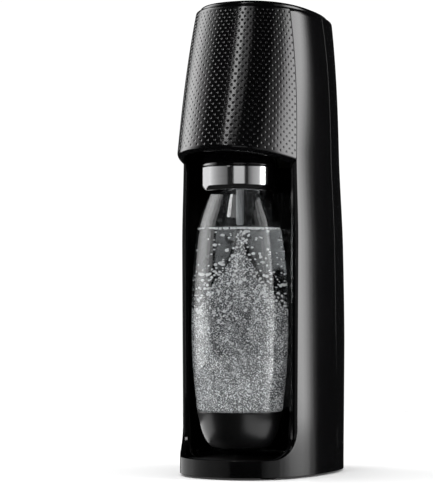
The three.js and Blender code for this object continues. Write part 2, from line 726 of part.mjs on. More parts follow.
add("bottle_holder", bottleHolder(), GLOSS_BLACK);
add("chrome_trim", chromeTrim(), CHROME);
add("nozzle_body", nozzleBody(), MATTE_BLACK);
add("carbonating_tube", carbonatingTube(), TUBE_GREY);
add("bottle_seal", bottleSeal(), RUBBER);
add("relief_valve", reliefValve(), BRASS);
add("nozzle_fitting", nozzleFitting(), BRASS);
add("valve_fitting", valveFitting(), BRASS);
add("gas_hose", gasHose(), RUBBER);

add("bottle_body", bottleBody(), CLEAR);
add("bottle_cup", bottleCup(), GLOSS_BLACK);

[["left", -1], ["right", 1]].forEach(([side, sign]) => {
  add(`holder_pin_${side}`, holderPin(sign), STEEL);
  add(`holder_claw_${side}`, holderClaw(sign), MATTE_BLACK);
});
["front_left", "front_right", "rear_left", "rear_right"].forEach((corner, i) => {
  add(`foot_${corner}`, foot(...FOOT_PLACES[i]), RUBBER);
  add(`base_screw_${corner}`, baseScrew(...SCREW_PLACES[i]), STEEL);
});
HEAD_SCREWS.forEach(([x, y], i) => add(`head_screw_${i === 0 ? "left" : "right"}`, headScrew(x, y), STEEL));

export default carbonator;
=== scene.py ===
import bisect
import json
import math
import random

import bmesh
import bpy
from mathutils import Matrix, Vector


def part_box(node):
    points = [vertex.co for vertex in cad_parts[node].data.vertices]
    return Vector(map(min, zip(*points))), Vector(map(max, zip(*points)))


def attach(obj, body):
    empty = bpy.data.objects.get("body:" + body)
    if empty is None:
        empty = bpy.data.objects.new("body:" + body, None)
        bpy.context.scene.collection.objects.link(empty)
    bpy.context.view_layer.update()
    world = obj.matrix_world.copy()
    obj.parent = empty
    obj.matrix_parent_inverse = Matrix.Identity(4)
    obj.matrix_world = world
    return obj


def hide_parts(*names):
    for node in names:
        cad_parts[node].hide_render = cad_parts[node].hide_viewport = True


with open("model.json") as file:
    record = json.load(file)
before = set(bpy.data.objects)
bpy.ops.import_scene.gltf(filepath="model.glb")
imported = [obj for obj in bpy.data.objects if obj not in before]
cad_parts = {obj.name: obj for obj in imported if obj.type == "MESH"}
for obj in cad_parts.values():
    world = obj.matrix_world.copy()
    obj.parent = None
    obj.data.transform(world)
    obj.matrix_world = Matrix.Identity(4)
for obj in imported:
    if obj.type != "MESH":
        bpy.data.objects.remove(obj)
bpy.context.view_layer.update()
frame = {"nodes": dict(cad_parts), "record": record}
MM = 0.001


def box_mm(node):
    low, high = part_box(node)
    return [v * 1000 for v in low], [v * 1000 for v in high]


# ---------------------------------------------------------------- camera and softboxes
def set_camera():
    data = bpy.data.cameras.new("camera")
    data.sensor_width = 36
    data.lens = 145.14
    data.shift_x = -0.0922
    data.shift_y = 0.0980
    data.clip_end = 50
    camera = bpy.data.objects.new("camera", data)
    azimuth = math.radians(29.04)
    centre_y = CENTRE_Y * MM
    distance = 1.833
    camera.location = (distance * math.sin(azimuth), centre_y - distance * math.cos(azimuth), 0.1617)
    forward = Vector((-math.sin(azimuth), math.cos(azimuth), 0))
    camera.rotation_euler = forward.to_track_quat("-Z", "Y").to_euler()
    bpy.context.scene.collection.objects.link(camera)
    bpy.context.scene.camera = camera


def softbox(name, place, aim, size, power):
    data = bpy.data.lights.new(name, "AREA")
    data.shape = "RECTANGLE"
    data.size, data.size_y = size
    data.energy = power
    light = bpy.data.objects.new(name, data)
    light.location = place
    light.rotation_euler = (Vector(aim) - Vector(place)).to_track_quat("-Z", "Y").to_euler()
    light.visible_camera = False
    bpy.context.scene.collection.objects.link(light)
    return light


def upright_softbox(name, start, end, distance, low, high, radiance):
    """A softbox standing round the object, between two directions: degrees from +X towards +Y."""
    a = math.radians((start + end) / 2)
    width = 2 * distance * math.tan(math.radians(abs(end - start) / 2))
    x, y, middle = distance * math.cos(a), distance * math.sin(a), (low + high) / 2
    power = radiance * math.pi * width * (high - low)
    return softbox(name, (x, y, middle), (0, 0, middle), (width, high - low), power)


# ---------------------------------------------------------------- the body's sections
HALF_WIDTH = box_mm("body_shell")[1][0]
REAR_REACH = 91.2
CENTRE_Y = 4.0
BASE_REACH = 89.0
HEAD_REACH = 99.2
POWER = 2.4
WALL = 2.6
RIM_Z, RIM_FRONT_Y, TOP_SLOPE = 420.5, -62.7, 0.055
SHELL_BOTTOM = box_mm("body_shell")[0][2]
BAY_RIM_Z = 17.0
FILLET = 26.0
SEAM_Y, SEAM_TOP_Y, SEAM_BEND_Z = -40.4, -34.0, 281.0
REAR_SEAM_Y, REAR_SEAM_LEAN, REAR_EDGE_Z, REAR_GAP = 30.0, 16.0, 22.0, 0.4
HEAD_Z = 290


def clamp01(t):
    return min(1.0, max(0.0, t))


def ease(t):
    return t * t * (3 - 2 * t)


def half_width(z):
    return HALF_WIDTH - 2.2 * ease(clamp01((z - 205) / 90)) - 8 * clamp01((z - HEAD_Z) / 130) ** 2.5


def rear_reach(z):
    return REAR_REACH - 3 * clamp01(1 - z / 120) - 17.2 * ease(clamp01((z - 110) / 285))


def rim_at(y):
    return RIM_Z - TOP_SLOPE * (y - RIM_FRONT_Y)


def front_reach(z):
    if z > HEAD_Z:
        return HEAD_REACH - 0.25 * (z - HEAD_Z)
    return BASE_REACH + (HEAD_REACH - BASE_REACH) * clamp01((z - 60) / 230)


def seam_y(z):
    lean = clamp01((z - SEAM_BEND_Z) / (RIM_Z + 2 - SEAM_BEND_Z))
    return SEAM_Y + (SEAM_TOP_Y - SEAM_Y) * lean


def rear_seam_y(z, clearance=0.0):
    return REAR_SEAM_Y + clearance - REAR_SEAM_LEAN * max(0, z - REAR_EDGE_Z) / 408


def power_of(v, exponent):
    return math.copysign(abs(v) ** exponent, v)


def at_angle(z, angle, inset=0.0):
    """The outline's point at an angle from the front, towards +X."""
    x = (half_width(z) - inset) * power_of(math.sin(angle), 2 / POWER)
    reach = (front_reach(z) if math.cos(angle) > 0 else rear_reach(z)) - inset
    return x, CENTRE_Y - reach * power_of(math.cos(angle), 2 / POWER)


def at_y(z, y, side, inset=0.0):
    reach = (front_reach(z) if y < CENTRE_Y else rear_reach(z)) - inset
    share = clamp01(1 - (abs(y - CENTRE_Y) / reach) ** POWER)
    return side * (half_width(z) - inset) * share ** (1 / POWER), y


def at_x(z, x, inset=0.0):
    share = clamp01(1 - (abs(x) / (half_width(z) - inset)) ** POWER)
    return x, CENTRE_Y + (rear_reach(z) - inset) * share ** (1 / POWER)


def angle_of_y(z, y, inset=0.0):
    reach = (front_reach(z) if y < CENTRE_Y else rear_reach(z)) - inset
    cosine = power_of((CENTRE_Y - y) / reach, POWER / 2)
    return math.acos(max(-1, min(1, cosine)))


# ---------------------------------------------------------------- mesh helpers
def finish_mesh(name, verts, faces, body, material, replaces=(), slot=None, bevel=0.0, sharp=35):
    mesh = bpy.data.meshes.new(name)
    mesh.from_pydata([tuple(c * MM for c in v) for v in verts], [], faces)
    work = bmesh.new()
    work.from_mesh(mesh)
    bmesh.ops.remove_doubles(work, verts=work.verts, dist=1e-7)
    loose = [v for v in work.verts if not v.link_faces]
    bmesh.ops.delete(work, geom=loose, context="VERTS")
    bmesh.ops.recalc_face_normals(work, faces=work.faces)
    work.to_mesh(mesh)
    work.free()
    for polygon in mesh.polygons:
        polygon.use_smooth = True
    mesh.set_sharp_from_angle(angle=math.radians(sharp))
    piece = bpy.data.objects.new(name, mesh)
    bpy.context.scene.collection.objects.link(piece)
    mesh.materials.append(material)
    if bevel:
        cut = piece.modifiers.new("bevel", "BEVEL")
        cut.width = bevel * MM
        cut.segments = 3
        cut.limit_method = "ANGLE"
        cut.angle_limit = math.radians(40)
        cut.miter_outer = "MITER_ARC"
        weigh = piece.modifiers.new("weigh", "WEIGHTED_NORMAL")
        weigh.keep_sharp = False
        for edge in mesh.edges:
            edge.use_edge_sharp = False
    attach(piece, body)
    if replaces:
        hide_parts(*replaces)


class Builder:
    """Collects several closed shells into one mesh."""

    def __init__(self):
        self.verts = []
        self.faces = []

    def add(self, verts, faces):
        start = len(self.verts)
        self.verts += verts
        self.faces += [[start + i for i in face] for face in faces]

    def box(self, x0, x1, y0, y1, z0, z1):
        corners = [(x, y, z) for z in (z0, z1) for y in (y0, y1) for x in sorted((x0, x1))]
        sides = [(0, 2, 3, 1), (4, 5, 7, 6), (0, 1, 5, 4), (2, 6, 7, 3), (0, 4, 6, 2), (1, 3, 7, 5)]
        self.add(corners, [list(s) for s in sides])

    def turned(self, outline, x, y, count=96, closed=False):
        """A lathe about the vertical through (x, y). The outline starts and ends on the axis, or closed."""
        rows = []
        for radius, z in outline:
            if radius < 1e-6:
                rows.append([len(self.verts)])
                self.verts.append((x, y, z))
                continue
            row = []
            for k in range(count):
                a = 2 * math.pi * k / count
                row.append(len(self.verts))
                self.verts.append((x + radius * math.cos(a), y + radius * math.sin(a), z))
            rows.append(row)
        pairs = list(zip(rows, rows[1:]))
        if closed:
            pairs.append((rows[-1], rows[0]))
        for low, high in pairs:
            for k in range(count):
                n = (k + 1) % count
                if len(low) == 1 and len(high) == 1:
                    continue
                if len(low) == 1:
                    self.faces.append([low[0], high[n], high[k]])
                elif len(high) == 1:
                    self.faces.append([low[k], low[n], high[0]])
                else:
                    self.faces.append([low[k], low[n], high[n], high[k]])

    def thick(self, outer, inner, keep, wrap=False):
        """A wall between two grids of points, over the cells that keep(row, column) names."""
        rows, columns = len(outer), len(outer[0])
        start = len(self.verts)
        for grid in (outer, inner):
            for row in grid:
                self.verts += row
        second = rows * columns

        def index(layer, r, c):
            return start + layer * second + r * columns + (c % columns)

        def kept(r, c):
            if not 0 <= r < rows - 1:
                return False
            if wrap:
                return keep(r, c % columns)
            return 0 <= c < columns - 1 and keep(r, c)

        for r in range(rows - 1):
            for c in range(columns if wrap else columns - 1):
                if not kept(r, c):
                    continue
                quad = [(r, c), (r, c + 1), (r + 1, c + 1), (r + 1, c)]
                self.faces.append([index(0, *p) for p in quad])
                self.faces.append([index(1, *p) for p in reversed(quad)])
                neighbours = [(r - 1, c), (r, c + 1), (r + 1, c), (r, c - 1)]
                for k, neighbour in enumerate(neighbours):
                    if not kept(*neighbour):
                        a, b = quad[k], quad[(k + 1) % 4]
                        self.faces.append([index(0, *b), index(0, *a), index(1, *a), index(1, *b)])

    def swept(self, loops, caps=True):
        """A closed solid through rings of points that all have the same count."""
        count = len(loops[0])
        rows = []
        for loop in loops:
            rows.append(list(range(len(self.verts), len(self.verts) + count)))
            self.verts += loop
        for low, high in zip(rows, rows[1:]):
            for k in range(count):
                n = (k + 1) % count
                self.faces.append([low[k], low[n], high[n], high[k]])
        if caps:
            self.faces.append(list(reversed(rows[0])))
            self.faces.append(rows[-1])

    def piece(self, name, body, material, **options):
        finish_mesh(name, self.verts, self.faces, body, material, **options)


def smooth_line(points, steps):
    """A Catmull-Rom line through (radius, height) points."""
    result = []
    padded = [points[0]] + list(points) + [points[-1]]
    for i in range(1, len(padded) - 2):
        p0, p1, p2, p3 = padded[i - 1 : i + 3]
        for k in range(steps):
            t = k / steps
            value = []
            for a, b, c, d in zip(p0, p1, p2, p3):
                second, third = 2 * a - 5 * b + 4 * c - d, 3 * b - a - 3 * c + d
                value.append(0.5 * (2 * b + (c - a) * t + second * t * t + third * t**3))
            result.append(tuple(value))
    result.append(tuple(points[-1]))
    return result


# ---------------------------------------------------------------- materials
def set_inputs(made, values):
    """An underscore stands for the space in an input's name."""
    for name, value in values.items():
        made.inputs[name.replace("_", " ")].default_value = value


def new_material(name, **values):
    material = bpy.data.materials.new(name)
    material.use_nodes = True
    nodes = material.node_tree.nodes
    set_inputs(nodes["Principled BSDF"], values)
    return material, nodes, nodes["Principled BSDF"]


def node(nodes, kind, **values):
    made = nodes.new("ShaderNode" + kind)
    set_inputs(made, values)
    return made


def link(start, output, end, socket):
    start.id_data.links.new(start.outputs[output], end.inputs[socket])


def color_ramp(nodes, first, last, *between):
    """A ramp through (place, (r, g, b)) stops."""
    made = nodes.new("ShaderNodeValToRGB")
    elements = made.color_ramp.elements
    for element, (place, color) in zip(elements, (first, last)):
        element.position = place
        element.color = (*color, 1)
    for place, color in between:
        elements.new(place).color = (*color, 1)
    return made


def vary_gloss(nodes, shader, pattern, output, low, high):
    gloss = node(nodes, "MapRange", To_Min=low, To_Max=high)
    link(pattern, output, gloss, "Value")
    link(gloss, "Result", shader, "Roughness")


def emboss(nodes, shader, pattern, output, strength, distance):
    relief = node(nodes, "Bump", Strength=strength, Distance=distance)
    link(pattern, output, relief, "Height")
    link(relief, "Normal", shader, "Normal")


def plastic(name, color, rough, spread, grain, bump):
    """Moulded plastic: slow changes of colour and gloss, with a fine skin."""
    material, nodes, shader = new_material(name)
    where = node(nodes, "TexCoord")
    slow = node(nodes, "TexNoise", Scale=18, Detail=5)
    link(where, "Object", slow, "Vector")
    vary_gloss(nodes, shader, slow, "Fac", max(0.02, rough - spread), rough + spread)
    tint = color_ramp(nodes, (0, [c * 0.8 for c in color]), (1, [min(1, c * 1.2) for c in color]))
    link(slow, "Fac", tint, "Fac")
    link(tint, "Color", shader, "Base Color")
    fine = node(nodes, "TexNoise", Scale=grain, Detail=3)
    link(where, "Object", fine, "Vector")
    emboss(nodes, shader, fine, "Fac", bump, 0.0004)
    return material


def metal(name, color, rough, stretch=(1, 1, 1), scale=120.0, bump=0.03, spread=0.06):
    """Metal with fine lines or spots, drawn out along one axis where it is brushed or turned."""
    material, nodes, shader = new_material(name, Metallic=1)
    where = node(nodes, "TexCoord")
    draw = node(nodes, "Mapping", Scale=stretch)
    link(where, "Object", draw, "Vector")
    lines = node(nodes, "TexNoise", Scale=scale, Detail=6)
    link(draw, "Vector", lines, "Vector")
    vary_gloss(nodes, shader, lines, "Fac", max(0.02, rough - spread), rough + spread)
    tint = color_ramp(nodes, (0, [c * 0.82 for c in color]), (1, color))
    link(lines, "Fac", tint, "Fac")
    link(tint, "Color", shader, "Base Color")
    emboss(nodes, shader, lines, "Fac", bump, 0.0002)
    return material


def clear(name, ior, rough, tint, smudge=0.0):
    """A clear solid or liquid, with faint smears in its gloss."""
    material, nodes, shader = new_material(name, Transmission_Weight=1, IOR=ior)
    where = node(nodes, "TexCoord")
    noise = node(nodes, "TexNoise", Scale=30)
    link(where, "Object", noise, "Vector")
    vary_gloss(nodes, shader, noise, "Fac", rough, rough + smudge)
    color = color_ramp(nodes, (0, [c * 0.98 for c in tint]), (1, tint))
    link(noise, "Fac", color, "Fac")
    link(color, "Color", shader, "Base Color")
    return material


def lacquer(name, low, high):
    """A lacquered cylinder: pale blue at the foot, deep blue above, and bare metal at the shoulder."""
    material, nodes, shader = new_material(name, Metallic=0.5)
    where = node(nodes, "TexCoord")
    split = node(nodes, "SeparateXYZ")
    link(where, "Object", split, "Vector")
    level = node(nodes, "MapRange", From_Min=low * MM, From_Max=high * MM)
    link(split, "Z", level, "Value")
    bare = (0.55, 0.56, 0.57)
    deep = (0.0, 0.1, 0.38)
    stops = [(0.35, (0.03, 0.45, 0.72)), (0.8, (0.0, 0.12, 0.42)), (0.835, deep), (0.84, bare)]
    ramp = color_ramp(nodes, (0, (0.45, 0.75, 0.88)), (1, bare), *stops)
    link(level, "Result", ramp, "Fac")
    drops = node(nodes, "TexVoronoi", Scale=260)
    link(where, "Object", drops, "Vector")
    emboss(nodes, shader, drops, "Distance", 0.08, 0.0002)
    link(ramp, "Color", shader, "Base Color")
    vary_gloss(nodes, shader, drops, "Distance", 0.22, 0.36)
    return material


GLOSS = plastic("gloss_black_plastic", (0.0014, 0.0014, 0.0016), 0.13, spread=0.03, grain=900,
    bump=0.012)
DIMPLED = plastic("dimpled_black_plastic", (0.0012, 0.0012, 0.0014), 0.16, spread=0.03, grain=1500,
    bump=0.03)
CUP = plastic("cup_black_plastic", (0.0025, 0.0025, 0.0028), 0.34, spread=0.04, grain=1000, bump=0.03)
SATIN = plastic("satin_black_plastic", (0.014, 0.014, 0.015), 0.42, spread=0.06, grain=1600, bump=0.12)
RUBBER = plastic("black_rubber", (0.012, 0.012, 0.012), 0.75, spread=0.08, grain=700, bump=0.3)
TUBE = plastic("grey_nylon", (0.55, 0.56, 0.57), 0.3, spread=0.05, grain=800, bump=0.05)
CHROME = metal("bright_chrome", (0.86, 0.86, 0.87), 0.13, stretch=(0.3, 0.3, 14), scale=160, bump=0.05,
    spread=0.05)
STEEL = metal("plain_steel", (0.55, 0.55, 0.57), 0.3)
BRASS = metal("machined_brass", (0.78, 0.56, 0.24), 0.25, stretch=(1, 1, 10), scale=200)
PET = clear("clear_bottle_plastic", 1.47, 0.0, (0.97, 0.985, 0.99), smudge=0.02)
WATER = clear("carbonated_water", 1.33, 0.0, (0.97, 0.98, 0.99))
LACQUER = lacquer("blue_lacquered_aluminium", box_mm("gas_cylinder")[0][2], box_mm("gas_cylinder")[1][2])


def bubble_material():
    # painted light: the bubbles get a glow of their own, though they are no lamp
    material, nodes, shader = new_material("gas_bubbles_painted_glow", Roughness=0.08, Transmission_Weight=0.3,
        Emission_Color=(1, 1, 1, 1), Emission_Strength=0.15, IOR=1.2)
    where = node(nodes, "TexCoord")
    noise = node(nodes, "TexNoise", Scale=500)
    link(where, "Object", noise, "Vector")
    # a whitish colour with random variation: a painted highlight on bubbles that are in truth clear
    ramp = color_ramp(nodes, (0, (0.75, 0.76, 0.77)), (1, (0.98, 0.98, 0.98)))
    link(noise, "Fac", ramp, "Fac")
    link(ramp, "Color", shader, "Base Color")
    return material


BUBBLE_PAINTED_GLOW = bubble_material()


def fizz_material():
    """Fine bubbles packed together, in clusters: painted highlights on their rims, painted shade in their
    middles, and a painted glow though they are no lamp.
    """
    material, nodes, shader = new_material("fine_fizz_painted_glow", Emission_Strength=0.34, Roughness=0.25)
    where = node(nodes, "TexCoord")
    cells = node(nodes, "TexVoronoi", Scale=880, Randomness=1)
    link(where, "Object", cells, "Vector")
    clusters = node(nodes, "TexNoise", Scale=70, Detail=3)
    link(where, "Object", clusters, "Vector")
    share = node(nodes, "Math")
    share.operation = "MULTIPLY"
    share.inputs[1].default_value = 0.4
    link(clusters, "Fac", share, 0)
    mix = node(nodes, "Math")
    mix.operation = "MULTIPLY_ADD"
    mix.inputs[1].default_value = 0.9
    link(cells, "Distance", mix, 0)
    link(share, "Value", mix, 2)
    # painted shade for the bubbles' middles, a mid tone, and a painted highlight for their rims
    painted_middle_shade, middle, painted_rim_highlight = (0.02, 0.0205, 0.0215), (0.14, 0.142, 0.146), (0.88, 0.885, 0.89)
    ramp = color_ramp(nodes, (0.38, painted_middle_shade), (0.95, painted_rim_highlight), (0.66, middle))
    link(mix, "Value", ramp, "Fac")
    link(ramp, "Color", shader, "Base Color")
    # the same colours also glow: painted light from the fizz, which is no lamp
    link(ramp, "Color", shader, "Emission Color")
    emboss(nodes, shader, cells, "Distance", 0.8, 0.0008)
    return material


FIZZ_PAINTED_GLOW = fizz_material()

CAD_MATERIALS = {
    "gloss_black": GLOSS,
    "dimpled_black": DIMPLED,
    "satin_black": SATIN,
    "chrome_trim": CHROME,
    "steel": STEEL,
    "brass": BRASS,
    "rubber": RUBBER,
    "cylinder_coating": LACQUER,
    "grey_tube": TUBE,
    "clear_plastic": PET,
}
for entry in frame["record"]["subparts"]:
    cad_piece = frame["nodes"][entry["node"]]
    for place in cad_piece.material_slots:
        place.material = CAD_MATERIALS[entry["material_slot"]]


def rim_edge(place, z, inset):
    """A point of a wall, drawn in towards the rounded rim on the outside."""
    x, y = place(z, inset)
    if inset == 0:
        near = clamp01(1 - (rim_at(y) - z) / 2.4)
        x, y = place(z, 1.6 * (1 - math.sqrt(1 - near * near * 0.98)))
    return x, y, z


# ---------------------------------------------------------------- body shell
def body_shell():
    """The side walls and the base in one, with the fillet that sweeps from the rim up each side."""
    # a column is its point on the outline, the height where the side wall starts, and whether it has one
    front_steps, fillet_steps, flank_steps, rear_steps = 24, 14, 26, 30

    def front(side, k):
        def place(z, inset):
            limit = angle_of_y(z, SEAM_Y - FILLET, inset)
            return at_angle(z, side * limit * k / front_steps, inset)
        return place, BAY_RIM_Z, False

    def fillet(side, k):
        angle = math.pi / 2 * k / fillet_steps
        y = SEAM_Y - FILLET + FILLET * math.sin(angle)

        def place(z, inset):
            return at_y(z, y, side, inset)
        return place, BAY_RIM_Z + FILLET * (1 - math.cos(angle)), False

    def flank(side, k):
        t = k / flank_steps

        def place(z, inset):
            return at_y(z, seam_y(z) * (1 - t) + rear_seam_y(z) * t, side, inset)
        return place, (BAY_RIM_Z + FILLET) * (1 - t) + REAR_EDGE_Z * t, True

    def rear(side, k):
        def place(z, inset):
            start = angle_of_y(z, REAR_SEAM_Y, inset)
            return at_angle(z, side * (start + (math.pi - start) * k / rear_steps), inset)
        return place, REAR_EDGE_Z, False

    right = [front(1, k) for k in range(front_steps)]
    right += [fillet(1, k) for k in range(fillet_steps)]
    right += [flank(1, k) for k in range(flank_steps)]
    right += [rear(1, k) for k in range(rear_steps + 1)]
    left = [rear(-1, k) for k in reversed(range(rear_steps))]
    left += [flank(-1, k) for k in reversed(range(flank_steps))]
    left += [fillet(-1, k) for k in reversed(range(fillet_steps))]
    left += [front(-1, k) for k in reversed(range(1, front_steps))]
    columns = right + left
    band, wall = 7, 150
    grids = []
    for inset in (0.0, WALL):
        grid = []
        for r in range(band + wall + 1):
            row = []
            for place, low, _ in columns:
                if r <= band:
                    z = SHELL_BOTTOM + (low - SHELL_BOTTOM) * r / band
                else:
                    rim = rim_at(place(RIM_Z, 0)[1])
                    z = low + (rim - low) * (r - band) / wall
                row.append(rim_edge(place, z, inset))
            grid.append(row)
        grids.append(grid)
    tall = [column[2] for column in columns]
    rear_edges = {front_steps + fillet_steps + flank_steps, len(right) + rear_steps - 1}

    def keep(r, c):
        if r < band:
            return True
        after = (c + 1) % len(columns)
        return (tall[c] and (tall[after] or after in rear_edges)) or (c in rear_edges and tall[after])

    shell = Builder()
    shell.thick(grids[0], grids[1], keep, wrap=True)
    shell.piece("body_shell_smooth", "base", GLOSS, replaces=["body_shell"], slot="gloss_black",
        bevel=0.5)


# ---------------------------------------------------------------- head shell
HEAD_EDGE_Z, HEAD_EDGE_SLOPE = 280.0, 0.16
HEAD_GAP = 0.6


class HeadSurface:
    """The head's outline between the seams, by share of the way round and height."""

    LEVELS = [272 + 2.5 * k for k in range(61)]
    STEPS = 240

    def __init__(self):
        self.tables = {}

    def table(self, inset):
        if inset not in self.tables:
            self.tables[inset] = [self.level(z, inset) for z in self.LEVELS]
        return self.tables[inset]

    def level(self, z, inset):
        limit = angle_of_y(z, seam_y(z) - HEAD_GAP, inset)
        dense = [at_angle(z, -limit + 2 * limit * k / 1600, inset) for k in range(1601)]
        run = [0.0]
        for a, b in zip(dense, dense[1:]):
            run.append(run[-1] + math.hypot(b[0] - a[0], b[1] - a[1]))
        result = []
        for k in range(self.STEPS + 1):
            want = run[-1] * k / self.STEPS
            i = min(len(run) - 2, max(0, bisect.bisect_right(run, want) - 1))
            t = (want - run[i]) / max(1e-9, run[i + 1] - run[i])
            a, b = dense[i], dense[i + 1]
            result.append((a[0] + (b[0] - a[0]) * t, a[1] + (b[1] - a[1]) * t))
        return result

    def at(self, u, z, inset=0.0):
        table = self.table(inset)
        level = (z - self.LEVELS[0]) / 2.5
        i = max(0, min(len(table) - 2, int(level)))
        t = level - i
        along = clamp01(u) * self.STEPS
        j = max(0, min(self.STEPS - 1, int(along)))
        s = along - j
        point = []
        for axis in (0, 1):
            low = table[i][j][axis] * (1 - s) + table[i][j + 1][axis] * s
            high = table[i + 1][j][axis] * (1 - s) + table[i + 1][j + 1][axis] * s
            point.append(low * (1 - t) + high * t)
        return (*point, z)

    def edge_z(self, u):
        y = self.at(u, 284)[1]
        return HEAD_EDGE_Z + HEAD_EDGE_SLOPE * (SEAM_Y - y)


def head_shell():
    surface = HeadSurface()
    across, rows = 48, 38
    lift = 5.0

    verts, faces, known = [], [], {}

    def rim_z(u):
        return rim_at(surface.at(u, RIM_Z)[1])

    def height(u, w):
        low = surface.edge_z(u) + lift
        return low + (rim_z(u) - 3.0 - low) * w

    def outer(u, w):
        return Vector(surface.at(u, height(u, w)))

    def vertex(key, make):
        if key not in known:
            known[key] = len(verts)
            verts.append(tuple(make()))
        return known[key]

    def grid_point(i, j):
        """A point on the cells' lines, counted in thirds of a cell."""
        return vertex((i, j), lambda: outer(i / (3 * across), j / (3 * rows)))

    for c in range(across):
        for r in range(rows):
            i, j = 3 * c, 3 * r
            rim = [(i + k, j) for k in range(3)] + [(i + 3, j + k) for k in range(3)]
            rim += [(i + 3 - k, j + 3) for k in range(3)] + [(i, j + 3 - k) for k in range(3)]
            if (c + r) % 2:
                for a in range(3):
                    for b in range(3):
                        quad = [(i + a, j + b), (i + a + 1, j + b), (i + a + 1, j + b + 1),
                            (i + a, j + b + 1)]
                        faces.append([grid_point(*p) for p in quad])
                continue
            u, w = (c + 0.5) / across, (r + 0.5) / rows
            centre = outer(u, w)
            side = outer(u + 0.004, w) - outer(u - 0.004, w)
            rise = outer(u, w + 0.004) - outer(u, w - 0.004)
            wide, tall = side.length / 0.008, rise.length / 0.008
            inward = rise.cross(side).normalized()
            outward = inward.y * (centre.y - CENTRE_Y) if abs(centre.x) < 20 else inward.x * centre.x
            if outward > 0:
                inward.negate()
            previous = [grid_point(*p) for p in rim]
            for radius, depth in [(1.2, 0.0), (1.08, 0.03), (0.85, 0.14), (0.5, 0.27)]:
                ring = []
                for k in range(12):
                    a = math.radians(-135 + 30 * k)
                    du, dw = radius * math.cos(a) / wide, radius * math.sin(a) / tall
                    point = outer(u + du, w + dw) + inward * depth
                    ring.append(len(verts))
                    verts.append(tuple(point))
                for k in range(12):
                    n = (k + 1) % 12
                    faces.append([previous[k], previous[n], ring[n], ring[k]])
                previous = ring
            tip = len(verts)
            verts.append(tuple(centre + inward * 0.33))
            for k in range(12):
                faces.append([previous[k], previous[(k + 1) % 12], tip])

    # above the dimples, over the rim and down the inside; below them, round the lip and up the inside
    def plain(i, inset, z_of):
        u = i / (3 * across)
        return surface.at(u, z_of(u), inset)

    drops = [(0, 2.2), (0.12, 1.4), (0.4, 0.7), (0.9, 0.2), (1.5, 0), (2.1, 0), (2.5, 0.4), (WALL, 1.4)]
    rim_rows = [(inset, lambda u, drop=drop: rim_z(u) - drop) for inset, drop in drops]
    lip = []
    for k in range(1, 9):
        a = math.pi / 2 * k / 8
        lip.append((round(lift * 0.9 * (1 - math.cos(a)), 4), lift * (1 - math.sin(a))))
    lip += [(6.4, 0.05), (7.3, 0.6), (7.3, 1.8), (6.4, 2.4), (4.2, 3.2), (WALL, 6.5)]
    lip_rows = [(inset, lambda u, rise=rise: surface.edge_z(u) + rise) for inset, rise in lip]
    top_row = [grid_point(i, 3 * rows) for i in range(3 * across + 1)]
    loop_rows = [[grid_point(i, 0) for i in range(3 * across + 1)]]

    def join_rows(current, row):
        for i in range(3 * across):
            faces.append([current[i + 1], current[i], row[i], row[i + 1]])

    def inside_z(k):
        def z_of(u):
            start = surface.edge_z(u) + 6.5
            return start + (rim_z(u) - 1.4 - start) * k / 12
        return z_of

    inside_rows = [(WALL, inside_z(k)) for k in range(1, 12)]
    for inset, z_of in lip_rows + inside_rows + rim_rows[::-1]:
        row = list(range(len(verts), len(verts) + 3 * across + 1))
        for i in range(3 * across + 1):
            verts.append(plain(i, inset, z_of))
        join_rows(loop_rows[-1], row)
        loop_rows.append(row)
    join_rows(loop_rows[-1], top_row)
    for end in (0, -1):
        column = 0 if end == 0 else 3 * across
        outside = [grid_point(column, j) for j in range(3 * rows, 0, -1)]
        faces.append(outside + [row[end] for row in loop_rows])
    finish_mesh("head_shell_dimpled", verts, faces, "base", DIMPLED, replaces=["head_shell"],
        slot="dimpled_black", sharp=48)


# ---------------------------------------------------------------- rear cover and its button
BUTTON_LOW = box_mm("rear_release_button")[0]
WINDOW = (11.5, 325.5, 338.5)  # round the button: half its width, its bottom and its top


def rear_cover():
    half, z0, z1 = WINDOW
    columns = []
    for side, shares in ((-1, range(0, 40)), (1, range(39, -1, -1))):
        flank = []
        for k in shares:
            def place(z, inset, side=side, t=k / 40):
                start = angle_of_y(z, rear_seam_y(z, REAR_GAP), inset)
                x_edge = half / (half_width(z) - inset)
                end = math.pi - math.asin(x_edge ** (POWER / 2))
                return at_angle(z, side * (start + (end - start) * t), inset)
            flank.append(place)
        if side == 1:
            for m in range(0, 9):
                x = -half + 2 * half * m / 8
                columns.append(lambda z, inset, x=x: at_x(z, x, inset))
        columns += flank
    bottom = REAR_EDGE_Z + REAR_GAP
    heights = [bottom + (z0 - bottom) * k / 52 for k in range(52)]
    heights += [z0 + (z1 - z0) * k / 4 for k in range(4)]
    grids = []
    for inset in (0.0, WALL):
        grid = [[rim_edge(place, z, inset) for place in columns] for z in heights]
        for k in range(41):
            row = []
            for place in columns:
                rim = rim_at(place(RIM_Z, 0)[1])
                row.append(rim_edge(place, z1 + (rim - z1) * (1 - (1 - k / 40) ** 1.5), inset))
            grid.append(row)
        grids.append(grid)
    window_rows = range(52, 56)
    window_columns = range(40, 48)
    cover = Builder()
    cover.thick(grids[0], grids[1], lambda r, c: not (r in window_rows and c in window_columns))
    flange_y = BUTTON_LOW[1]
    for side in (-1, 1):
        # a lower hook, and a guide for the button
        cover.box(6 * side, 13 * side, 84.4, 86.8, 14, 27)
        cover.box(6 * side, 13 * side, 86, at_x(25, 13, 1.2)[1], 23.4, 27)
        skin_y = at_x(z1 + 1.5, 15.6, 1.2)[1]
        cover.box(13.6 * side, 15.6 * side, flange_y - 4.4, skin_y, z0 - 1.5, z1 + 1.5)
        cover.box(11.8 * side, 14 * side, flange_y - 4.4, flange_y - 2.9, z0 - 1.5, z1 + 1.5)
    cover.piece("rear_cover_smooth", "cover", GLOSS, replaces=["rear_cover"], slot="gloss_black",
        bevel=0.45)


